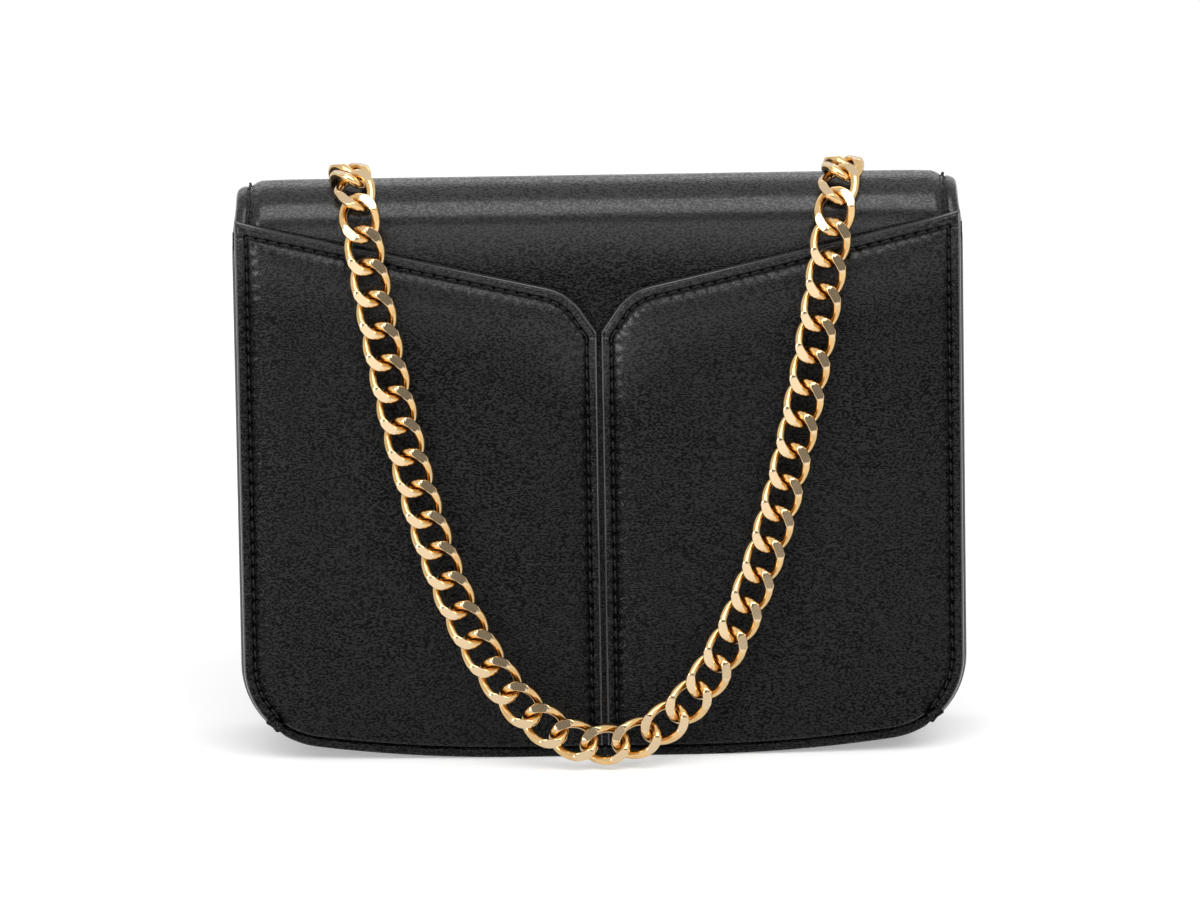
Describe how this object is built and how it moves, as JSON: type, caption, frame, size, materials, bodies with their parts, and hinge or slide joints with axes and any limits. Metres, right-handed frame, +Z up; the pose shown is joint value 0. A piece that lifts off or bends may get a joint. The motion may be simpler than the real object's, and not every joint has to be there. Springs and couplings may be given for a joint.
{
  "type": "shoulder bag",
  "caption": "Small structured flap bag of black leather with a notched slip pocket on its rear face and a polished gold curb chain strap hung over the crest.",
  "frame": {"origin": "middle of the bounding box at floor level, under the standing bag", "axes": "+Z up, +X along the bag's width, -Y out of the rear face with the slip pocket and the hanging chain, +Y out of the flap's front"},
  "size_m": [0.21, 0.0813, 0.1731],
  "materials": {
    "leather": "smooth fine-grained black leather",
    "lining_leather": "matt black lining leather",
    "board": "grey bag board",
    "gold_metal": "polished light gold plating",
    "steel": "nickel plated steel"
  },
  "bodies": {
    "shell": {"back_panel": "leather", "back_board": "board", "top_board": "board", "pocket_lining": "lining_leather", "pocket_panel_left": "leather", "pocket_panel_right": "leather", "front_panel": "leather", "front_board": "board", "gusset_left": "leather", "gusset_right": "leather", "bottom_panel": "leather", "base_board": "board", "lining": "lining_leather", "inner_pocket": "lining_leather", "snap_socket": "steel", "snap_socket_washer": "steel", "chain_bracket_left": "gold_metal", "chain_bracket_right": "gold_metal", "chain_backing_left": "steel", "chain_backing_right": "steel", "chain_rivets": "gold_metal", "chain_pin_left": "gold_metal", "chain_pin_right": "gold_metal"},
    "flap_top": {"flap_top_leather": "leather", "flap_top_lining": "lining_leather"},
    "flap_front": {"flap_front_leather": "leather", "flap_front_board": "board", "flap_front_lining": "lining_leather", "snap_stud": "steel", "snap_stud_washer": "steel"},
    "chain_ends": {"chain_eye_left": "gold_metal", "chain_eye_right": "gold_metal"},
    "chain_crest": {"crest_link_left": "gold_metal", "crest_link_right": "gold_metal"},
    "chain_ridge_upper": {"ridge_link_upper_left": "gold_metal", "ridge_link_upper_right": "gold_metal"},
    "chain_ridge_lower": {"ridge_link_lower_left": "gold_metal", "ridge_link_lower_right": "gold_metal"},
    "chain_drop": {"drop_links_left": "gold_metal", "drop_links_right": "gold_metal", "bottom_link": "gold_metal"}
  },
  "joints": [
    {"name": "flap_open", "type": "hinge", "parent": "shell", "child": "flap_top", "pos_m": [0, 0.00817, 0.16407], "axis": [1, 0, 0], "range_deg": [0, 110]},
    {"name": "flap_fold", "type": "hinge", "parent": "flap_top", "child": "flap_front", "pos_m": [0, 0.03657, 0.15002], "axis": [1, 0, 0], "range_deg": [0, 75]},
    {"name": "chain_swing", "type": "hinge", "parent": "shell", "child": "chain_ends", "pos_m": [0, 0.00376, 0.16834], "axis": [-1, 0, 0], "range_deg": [0, 68]},
    {"name": "crest_unbend", "type": "hinge", "parent": "chain_ends", "child": "chain_crest", "pos_m": [0, -0.00674, 0.1706], "axis": [-1, 0, 0], "range_deg": [0, 19.2]},
    {"name": "chain_unbend", "type": "hinge", "parent": "chain_crest", "child": "chain_ridge_upper", "pos_m": [0, -0.01585, 0.16978], "axis": [-1, 0, 0], "range_deg": [0, 32]},
    {"name": "ridge_unbend", "type": "hinge", "parent": "chain_ridge_upper", "child": "chain_ridge_lower", "pos_m": [0, -0.02312, 0.16424], "axis": [-1, 0, 0], "range_deg": [0, 32]},
    {"name": "drop_unbend", "type": "hinge", "parent": "chain_ridge_lower", "child": "chain_drop", "pos_m": [0, -0.02633, 0.1557], "axis": [-1, 0, 0], "range_deg": [0, 16]}
  ],
  "couplings": [
    {"joint": "flap_fold", "follows": "flap_open", "ratio": 0.68},
    {"joint": "crest_unbend", "follows": "chain_unbend", "ratio": 0.6},
    {"joint": "ridge_unbend", "follows": "chain_unbend", "ratio": 1},
    {"joint": "drop_unbend", "follows": "chain_unbend", "ratio": 0.5}
  ]
}
